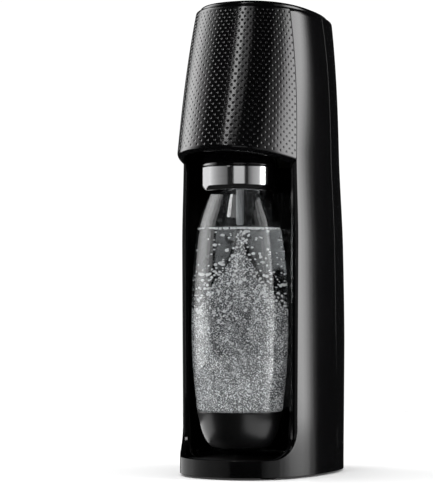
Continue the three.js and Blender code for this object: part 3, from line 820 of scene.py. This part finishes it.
# ---------------------------------------------------------------- lid
def lid():
    count = 192
    crown = 424.9 + TOP_SLOPE * 10.2
    pivot_low, pivot_high = box_mm("lid_pivot_pin")
    pivot_z = (pivot_low[2] + pivot_high[2]) / 2

    def loop(z, inset):
        points = []
        for k in range(count):
            x, y = at_angle(RIM_Z, 2 * math.pi * k / count, 3.2 + inset)
            points.append((x, y, z - TOP_SLOPE * (y - RIM_FRONT_Y)))
        return points

    outer = [(413.0, 0.0), (417.0, 0.0), (crown - 3.6, 0.0)]
    for k in range(1, 13):
        a = math.pi / 2 * k / 12
        outer.append((crown - 3.6 + 3.6 * math.sin(a), 7.0 * (1 - math.cos(a))))
    outer += [(crown, 12.0), (crown, 24.0), (crown, 38.0), (crown, 50.0)]
    inner = [(crown - 2.6, 50.0), (crown - 2.6, 8.0), (crown - 3.2, 5.0), (crown - 4.8, 2.6),
        (413.0, 2.2)]
    lid_piece = Builder()
    rings = [loop(z, inset) for z, inset in outer + inner]
    lid_piece.swept(rings, caps=False)
    top = list(range((len(outer) - 1) * count, len(outer) * count))
    under = list(range(len(outer) * count, (len(outer) + 1) * count))
    for i in range(count):
        n = (i + 1) % count
        lid_piece.faces.remove([top[i], top[n], under[n], under[i]])
        last = (len(rings) - 1) * count
        lid_piece.faces.append([last + i, last + n, n, i])
    lid_piece.faces += [top, under]
    for side in (-1, 1):
        lid_piece.box(27 * side, 30 * side, 50, 60, pivot_z - 4, 417.2)
    lid_piece.box(-5, 5, -24, -16, 403.4, 421.2)
    lid_piece.piece("lid_smooth", "lid", GLOSS, replaces=["lid_button"], slot="gloss_black",
        sharp=50)


# ---------------------------------------------------------------- bay
BAY_HALF, BAY_BACK, BAY_CORNER, BAY_FLOOR, BAY_TOP, LINER = 53.0, 12.5, 24.0, 15.0, 279.0, 2.2


def bay_path(half, back, corner, inset):
    """Half of the bay's outline at the floor: a front arc, a straight side and a round back corner."""
    z = BAY_RIM_Z
    meet_angle = math.asin(clamp01(half / (half_width(z) - inset)) ** (POWER / 2))
    points = [at_angle(z, meet_angle * k / 60, inset) for k in range(61)]
    y_meet = points[-1][1]
    for k in range(1, 30):
        points.append((half, y_meet + (back - corner - y_meet) * k / 29))
    for k in range(1, 21):
        a = math.pi / 2 * k / 20
        points.append((half - corner + corner * math.cos(a), back - corner + corner * math.sin(a)))
    for k in range(1, 13):
        points.append(((half - corner) * (1 - k / 12), back))
    return points


def bay():
    inner = bay_path(BAY_HALF, BAY_BACK, BAY_CORNER, 5.1)
    outer = bay_path(BAY_HALF + LINER, BAY_BACK + LINER, BAY_CORNER + LINER, 2.9)
    inner = inner + [(-x, y) for x, y in reversed(inner[1:-1])]
    outer = outer + [(-x, y) for x, y in reversed(outer[1:-1])]

    def top(y):
        run = y - (SEAM_Y - FILLET)
        if run < 0:
            return BAY_RIM_Z - 0.2
        if run < FILLET:
            return BAY_RIM_Z - 0.2 + FILLET - math.sqrt(max(0, FILLET**2 - run**2))
        return BAY_TOP

    wall = Builder()
    rows = 56
    grids = []
    for path in (inner, outer):
        grid = []
        for r in range(rows + 1):
            row = []
            for k, ((x, y), (_, iy)) in enumerate(zip(path, inner)):
                low = BAY_FLOOR if path is inner else BAY_FLOOR - LINER
                z = low + (top(iy) - low) * (r / rows) ** 2
                if path is inner:
                    sweep = min(14.0, 0.75 * (top(iy) - low))
                    drawn = sweep - math.sqrt(max(0.0, sweep**2 - max(0.0, sweep - (z - low)) ** 2))
                    (x0, y0), (x1, y1) = inner[k - 1], inner[(k + 1) % len(inner)]
                    run = math.hypot(x1 - x0, y1 - y0)
                    x, y = x + (y0 - y1) / run * drawn, y + (x1 - x0) / run * drawn
                row.append((x, y, z))
            grid.append(row)
        grids.append(grid)
    wall.thick(grids[0], grids[1], lambda r, c: True, wrap=True)
    wall.piece("bay_walls", "base", GLOSS, replaces=["bay_liner"], slot="gloss_black", bevel=0.4)

    floor = Builder()
    rings = []
    for scale in (0.985, 0.95, 0.8, 0.5, 0.2):
        rings.append([(x * scale, -33 + (y + 33) * scale, BAY_FLOOR + 0.4) for x, y in inner])
    base = [(x * 0.985, -33 + (y + 33) * 0.985, BAY_FLOOR - LINER) for x, y in inner]
    floor.swept([base] + rings)
    floor.piece("bay_floor", "base", SATIN, slot="gloss_black", sharp=50)

    panel = Builder()
    panel.box(-16, 16, BAY_BACK - 1.2, BAY_BACK + 0.3, 34, 257)
    panel.piece("bay_back_panel", "base", GLOSS, slot="gloss_black", bevel=0.5)

    for side, name in ((-1, "left"), (1, "right")):
        lip = Builder()
        heights = [46 + (BAY_TOP - 46) * k / 12 for k in range(13)]
        grids = []
        for y in (SEAM_Y + 0.1, SEAM_Y + LINER):
            grids.append([[(side * BAY_HALF, y, z),
                (at_y(z, y, side, WALL + 0.2)[0], y, z)] for z in heights])
        lip.thick(grids[0], grids[1], lambda r, c: True)
        lip.piece("bay_edge_" + name, "base", GLOSS, slot="gloss_black", bevel=0.3)


# ---------------------------------------------------------------- bottle, its water and bubbles
low, high = box_mm("bottle_body")
BOTTLE_Y = (low[1] + high[1]) / 2
MOUTH_Z = high[2]
CUP_LOW, CUP_HIGH = box_mm("bottle_cup")[0][2], box_mm("bottle_cup")[1][2]
OUTSIDE = [(38.6, 59.2), (42.4, 99), (43.5, 135), (42.4, 177), (38.4, 221), (32, 244), (25.8, 258.5),
    (20.9, 268)]
BOTTLE_WALL = 1.5
WATER_Z = 223.0


def bottle():
    neck = [(19.4, 271.5), (19.3, 274), (19.6, 275), (22.6, 275.1), (23, 275.6), (23, 277.4),
        (22.6, 278), (18.9, 278.4)]
    neck += [(18.6, 279.5), (18.6, MOUTH_Z - 0.6), (18.0, MOUTH_Z)]
    outer = [(0, 31), (9, 31.1), (18, 31.6), (24.5, 33.8), (29.5, 38), (33, 43), (35.2, 49), (36.4, 55),
        (36.7, 58.5)]
    outer += [(37.4, 58.9)] + smooth_line(OUTSIDE, 9) + neck
    inner = [(16.8, MOUTH_Z), (16.6, MOUTH_Z - 0.8), (16.6, 279), (17.4, 275), (18.4, 270.5)]
    inner += [(r - BOTTLE_WALL, z) for r, z in reversed(smooth_line(OUTSIDE, 9))]
    inner += [(35, 55), (33.6, 49.4), (31.4, 44.2), (28, 39.6), (23.5, 35.6), (17.5, 33.6), (9, 33.1),
        (0, 33)]
    clear_wall = Builder()
    clear_wall.turned(outer + inner, 0, BOTTLE_Y, 128)
    clear_wall.piece("bottle_clear_wall", "bottle", PET, replaces=["bottle_body"], slot="clear_plastic",
        sharp=60)

    wet = [(0, 32.8), (9, 32.9), (17.6, 33.4), (23.6, 35.5), (28.1, 39.5), (31.5, 44.1), (33.7, 49.3),
        (35.1, 55)]
    wet += [(r - BOTTLE_WALL + 0.15, z) for r, z in smooth_line(OUTSIDE, 9) if z < WATER_Z - 1]
    edge = wet[-1][0]
    wet += [(edge - 0.3, WATER_Z), (edge - 1.4, WATER_Z - 0.5), (edge - 3, WATER_Z - 0.7),
        (0, WATER_Z - 0.7)]
    water = Builder()
    water.turned(wet, 0, BOTTLE_Y, 128)
    water.piece("water", "bottle", WATER, slot="clear_plastic", sharp=60)


def radius_at(z):
    line = smooth_line(OUTSIDE, 9)
    if z <= line[0][1]:
        return 33.0
    for (r0, z0), (r1, z1) in zip(line, line[1:]):
        if z0 <= z <= z1:
            return r0 + (r1 - r0) * (z - z0) / max(1e-6, z1 - z0)
    return line[-1][0]


def fizz_radius(z):
    """The dense cloud of fine bubbles: a narrow plume under the tube that fills the bottle below."""
    inside = radius_at(z) - BOTTLE_WALL - 1.6
    if z < 63:
        return inside
    plume = 1.6 + 40 * clamp01((213 - z) / 85) ** 1.6
    return min(inside, plume)


def fizz_cloud():
    rows, count = 110, 150
    levels = [57.0 + 162.0 * k / rows for k in range(rows + 1)]
    rng = random.Random(5)
    phases = [(rng.uniform(0, 6.28), rng.randint(3, 15), rng.uniform(-0.4, 0.4)) for _ in range(14)]
    loops = []
    for z in levels:
        loop = []
        for k in range(count):
            a = 2 * math.pi * k / count
            wave = sum(math.sin(turns * a + rate * z + phase) for phase, turns, rate in phases) / 14
            r = fizz_radius(z) * (0.93 + 1.0 * wave * clamp01((z - 60) / 40) * clamp01((235 - z) / 40))
            r = min(r + rng.uniform(-0.35, 0.35), radius_at(z) - BOTTLE_WALL - 0.7)
            loop.append((r * math.cos(a), BOTTLE_Y + r * math.sin(a), z + rng.uniform(-0.3, 0.3)))
        loops.append(loop)
    cloud = Builder()
    cloud.swept(loops)
    # the cloud carries the fizz's painted glow, painted rim highlights and painted shade
    cloud.piece("fizz_cloud", "bottle", FIZZ_PAINTED_GLOW, slot="clear_plastic", sharp=180)


def bubbles():
    rng = random.Random(11)
    ball = bmesh.new()
    bmesh.ops.create_icosphere(ball, subdivisions=2, radius=1)
    shape = [v.co.copy() for v in ball.verts]
    tris = [[v.index for v in f.verts] for f in ball.faces]
    ball.free()
    fizz = Builder()

    def add(radius, x, y, z):
        squash = rng.uniform(0.75, 1.0)
        points = [(x + p.x * radius, BOTTLE_Y + y + p.y * radius,
            z + p.z * radius * squash) for p in shape]
        fizz.add(points, tris)

    # large ones loose in the upper half, and finer ones against the cloud
    for count, z0, z1, small, large in [(230, 145, 219, 0.7, 1.7), (560, 110, 185, 0.5, 1.5),
            (1000, 60, 150, 0.45, 1.2)]:
        for _ in range(count):
            z = z0 + (z1 - z0) * rng.random() ** 1.15
            radius = small + (large - small) * rng.random() ** 2.2
            widest = radius_at(z) - BOTTLE_WALL - radius - 0.3
            near = min(widest, fizz_radius(z) * 0.9)
            r = near + (widest - near) * rng.random() ** 1.3
            a = rng.uniform(0, 2 * math.pi)
            add(radius, r * math.cos(a), r * math.sin(a), z)
    for _ in range(46):
        a, r = rng.uniform(0, 2 * math.pi), 30 * math.sqrt(rng.random())
        add(rng.uniform(0.8, 1.7), r * math.cos(a), r * math.sin(a), WATER_Z - 1.8)
    # the bubbles carry a painted glow and a painted whitish highlight
    fizz.piece("bubbles", "bottle", BUBBLE_PAINTED_GLOW, slot="clear_plastic", sharp=180)


def cup():
    outside = [(0, CUP_LOW + 2), (16, CUP_LOW + 2), (18.6, CUP_LOW + 1.6), (21, CUP_LOW + 0.3),
        (23.4, CUP_LOW)]
    outside += [(25.6, CUP_LOW + 0.7), (28.2, 29.4), (31.2, 34), (33.6, 39.5), (35.5, 46), (37.2, 53),
        (38.3, 57.6), (38.3, CUP_HIGH)]
    inside = [(37.4, CUP_HIGH), (36.9, 56), (35.8, 50), (33.9, 43.6), (30.6, 37.6), (25.2, 32.6),
        (18.2, 30.6), (0, 30.2)]
    line = smooth_line(outside[5:12], 4)
    turned = Builder()
    turned.turned(outside[:5] + line + [outside[12]] + inside, 0, BOTTLE_Y, 128)
    turned.piece("bottle_cup_smooth", "bottle", CUP, replaces=["bottle_cup"], slot="satin_black",
        sharp=40)


# ---------------------------------------------------------------- holder
HOLD_LOW = box_mm("bottle_holder")[0][2]


def arc_piece(outline, middle, half_angle, steps=96):
    loops = []
    for k in range(steps + 1):
        a = middle - half_angle + 2 * half_angle * k / steps
        loops.append([(r * math.cos(a), BOTTLE_Y + r * math.sin(a), z) for r, z in outline[::-1]])
    piece = Builder()
    piece.swept(loops)
    return piece


def holder():
    b = HOLD_LOW
    profile = [(29.5, b), (31.3, b), (31.3, b + 1.4), (32.3, b + 4.8), (32.3, b + 21.5),
        (34.3, b + 21.6), (34.7, b + 22)]
    profile += [(34.7, b + 24), (34.4, b + 24.8), (33.2, b + 29), (31.7, b + 34.6), (31.5, b + 36)]
    profile += [(31.5, 303.2), (30.7, 304), (12.6, 304), (12, 303.4), (12, 301.4), (12.6, 301),
        (26.4, 299.1), (27, 298.4)]
    profile += [(27, b + 8), (28.6, b + 2.6), (29.1, b + 0.5)]
    body = Builder()
    body.turned(profile, 0, BOTTLE_Y, 144, closed=True)
    body.piece("holder_collar", "holder", GLOSS, replaces=["bottle_holder"], slot="gloss_black",
        sharp=42)
    facing = [(31.2, b + 0.1), (31.9, b + 0.1), (32.3, b + 0.4), (34.0, b + 4.1), (34.1, b + 4.7),
        (34.1, b + 21.5), (32.2, b + 21.5)]
    facing += [(32.2, b + 5), (31.2, b + 1.4)]
    arc_piece(facing, math.pi / 2, math.pi - 1.34).piece("holder_facing", "holder", GLOSS,
        slot="gloss_black", sharp=40)
    for side, name in ((-1, "left"), (1, "right")):
        arm = Builder()
        arm.box(29.5 * side, 37.4 * side, -32, -18.5, 294, 306)
        arm.piece("holder_arm_" + name, "holder", SATIN, slot="gloss_black", bevel=1.5)

    trim = [(31.5, b + 0.5), (31.7, b + 0.25), (32.1, b + 0.25), (32.5, b + 0.6), (34.0, b + 4.0),
        (34.2, b + 4.6)]
    trim += [(34.2, b + 5.2), (34.2, b + 20.2), (34.2, b + 20.7), (34.0, b + 21.1), (33.7, b + 21.2),
        (33.1, b + 21.2), (32.9, b + 21), (32.9, b + 5), (31.5, b + 1.5)]
    arc_piece(trim, -math.pi / 2, 1.33).piece("chrome_band", "holder", CHROME, replaces=["chrome_trim"],
        slot="chrome_trim", sharp=40)

    tube_low, tube_high = box_mm("carbonating_tube")
    tube = Builder()
    z = tube_low[2]
    line = [(1.6, z + 0.2), (1.9, z), (2.6, z), (2.9, z + 0.3), (3.4, z + 1.8), (3.4, z + 30),
        (3.4, tube_high[2]), (1.6, tube_high[2])]
    tube.turned(line, 0, BOTTLE_Y, 48, closed=True)
    tube.piece("carbonating_tube_smooth", "holder", TUBE, replaces=["carbonating_tube"],
        slot="grey_tube", sharp=45)


# ---------------------------------------------------------------- feet and cylinder
def feet():
    for corner in ("front_left", "front_right", "rear_left", "rear_right"):
        lo, hi = box_mm("foot_" + corner)
        x, y = (lo[0] + hi[0]) / 2, (lo[1] + hi[1]) / 2
        foot = Builder()
        outline = [(0, 0), (5.5, 0), (6.9, 0.05), (7.6, 0.35), (8, 0.9), (8, 1.7), (7.8, 1.9),
            (3.5, 1.9), (3.5, 4.7), (0, 4.7)]
        foot.turned(outline, x, y, 48)
        foot.piece("foot_pad_" + corner, "base", RUBBER, replaces=["foot_" + corner], slot="rubber",
            sharp=45)


def gas_cylinder():
    lo, hi = box_mm("gas_cylinder")
    y, bottom = (lo[1] + hi[1]) / 2, lo[2]
    s = bottom + 280
    shoulder = [(30, s), (29, s + 12), (26.2, s + 21), (20.5, s + 31), (15.6, s + 36.5), (14, s + 40),
        (14, s + 46)]
    outline = [(0, bottom + 3), (15, bottom + 3), (19, bottom + 1.6), (22, bottom), (25, bottom + 0.2),
        (28, bottom + 1.4)]
    outline += [(29.5, bottom + 3.6), (30, bottom + 7), (30, bottom + 60),
        (30, bottom + 200)] + smooth_line(shoulder, 6)
    outline += [(8.2, s + 46), (8.2, s + 30), (0, s + 30)]
    tank = Builder()
    tank.turned(outline, 0, y, 128)
    tank.piece("gas_cylinder_smooth", "cylinder", LACQUER, replaces=["gas_cylinder"],
        slot="cylinder_coating", sharp=45)


set_camera()
body_shell()
head_shell()
rear_cover()
lid()
bay()
bottle()
fizz_cloud()
bubbles()
cup()
holder()
feet()
gas_cylinder()


# ---------------------------------------------------------------- stage
def stage():
    mesh = bpy.data.meshes.new("floor")
    ring = [(math.cos(math.pi * k / 60), math.sin(math.pi * k / 60), 0) for k in range(120)]
    mesh.from_pydata(ring, [], [list(range(120))])
    floor = bpy.data.objects.new("floor", mesh)
    bpy.context.scene.collection.objects.link(floor)
    material, nodes, shader = new_material("pale_floor", Roughness=0.35, Emission_Color=(1, 1, 1, 1),
        Emission_Strength=0.04)
    where = node(nodes, "TexCoord")
    noise = node(nodes, "TexNoise", Scale=3)
    link(where, "Object", noise, "Vector")
    ramp = color_ramp(nodes, (0, (0.93, 0.93, 0.93)), (1, (0.95, 0.95, 0.95)))
    link(noise, "Fac", ramp, "Fac")
    link(ramp, "Color", shader, "Base Color")
    mesh.materials.append(material)
    floor.visible_glossy = False
    world = bpy.data.worlds.new("studio")
    world.use_nodes = True
    bpy.context.scene.world = world
    tree = world.node_tree
    background = tree.nodes["Background"]
    background.inputs["Color"].default_value = (1, 1, 1, 1)
    path = node(tree.nodes, "LightPath")
    strength = node(tree.nodes, "MapRange", To_Min=0.012, To_Max=1.05)
    link(path, "Is Camera Ray", strength, "Value")
    link(strength, "Result", background, "Strength")


def receivers(name, pieces):
    group = bpy.data.collections.new(name)
    for piece in pieces:
        group.objects.link(piece)
    return group


def fan(name, start, step, distance, low, high, radiances, group=None, first=0):
    """Upright softboxes side by side, each with its own radiance, seen by one group of pieces or by all."""
    for k, radiance in enumerate(radiances, first):
        a = start + step * (k - first)
        light = upright_softbox(name + "_" + str(k), a, a + step, distance, low, high, radiance)
        light.light_linking.receiver_collection = group


def set_lights():
    """Groups of pieces have lights of their own, so that none has to suit both black and chrome."""
    lower, bottle_only, upper = [], [], []
    for piece in [o for o in bpy.data.objects if o.type == "MESH"]:
        if piece.name in ("bottle_clear_wall", "water"):
            bottle_only.append(piece)
        elif piece.name in ("chrome_band", "body_shell_smooth"):
            lower.append(piece)
        else:
            upper.append(piece)
    lower_pieces = receivers("lower_pieces", lower)
    upper_pieces = receivers("upper_pieces", upper)
    bottle_pieces = receivers("bottle_pieces", bottle_only)
    other_pieces = receivers("other_pieces", lower + upper)
    cup_only = receivers("cup_only", [bpy.data.objects["bottle_cup_smooth"]])
    rear_pieces = receivers("rear_pieces", [bpy.data.objects["rear_cover_smooth"]])
    floor_only = receivers("floor_only", [bpy.data.objects["floor"]])

    # the clear bottle
    fan("bottle_left", 161, 11, 1.75, -0.1, 2.1, (0.9, 1.8, 2.6, 2.8, 2.0, 1.0), bottle_pieces)
    fan("bottle_right", -4, 10, 1.65, -0.2, 1.5, (0.8, 1.6, 2.4, 2.8, 2.4, 1.2), bottle_pieces)
    # from the left: strong on the head, weak on the chrome and the base
    left = (1.6, 2.8, 4.0, 5.0, 5.6, 5.8, 5.4, 4.2, 3.0, 2.1, 1.3, 0.6)
    fan("soft_left", 161, 5.4, 1.7, -0.1, 2.1, left, upper_pieces)
    steady = 0.85
    wide = upright_softbox("low_left", 140, 198, 1.8, -0.4, 0.9, steady)
    wide.light_linking.receiver_collection = lower_pieces
    fan("low_left", 198, 4, 1.8, -0.4, 0.9, [steady * 0.885**k for k in range(16)], lower_pieces)
    for side, power in ((-1, 0.009), (1, 0.008)):
        place, aim = (0.05 * side, -0.066, 0.03), (0, -0.066, 0.036)
        glow = softbox("cup_glow_" + str(side), place, aim, (0.07, 0.026), power)
        glow.light_linking.receiver_collection = cup_only
    # from the front: the bright line on the head, and the chrome's middle
    upright_softbox("high_front", -102, -91, 2.0, 1.4, 2.5, 8.0)
    upright_softbox("high_front_edge", -91, -72, 2.0, 1.4, 2.5, 1.3)
    upright_softbox("low_front", -79, -47.5, 2.2, 0.29, 0.9, 0.6)
    # from the right: the band along the side
    right = (1.2, 2.6, 4.2, 5.4, 6.2, 6.6, 6.6, 6.6, 6.4, 5.0, 3.2, 1.3, 0.25)
    fan("soft_right", 0, 4, 1.6, -0.06, 1.5, right, other_pieces)
    fan("floor_right", -2, 7.5, 1.6, -0.4, -0.06, (0.8, 1.2, 1.8, 2.0, 2.0, 1.6, 0.5))
    fan("low_right", -36, 6, 1.7, -0.3, 0.75, (0.15, 0.25, 0.35))
    fan("low_right", -18, 6, 1.7, -0.3, 1.5, (0.4, 0.45, 0.5), first=3)
    fan("rear", 122, 6, 1.8, -1.2, 1.4, (0.6, 1.6, 2.8, 2.8, 1.6, 0.6), rear_pieces)
    overhead = softbox("overhead", (0, 0, 2.6), (0, 0, 0), (3.2, 3.2), 108)
    overhead.light_linking.receiver_collection = floor_only


stage()
set_lights()
bpy.context.scene.view_settings.view_transform = "Standard"
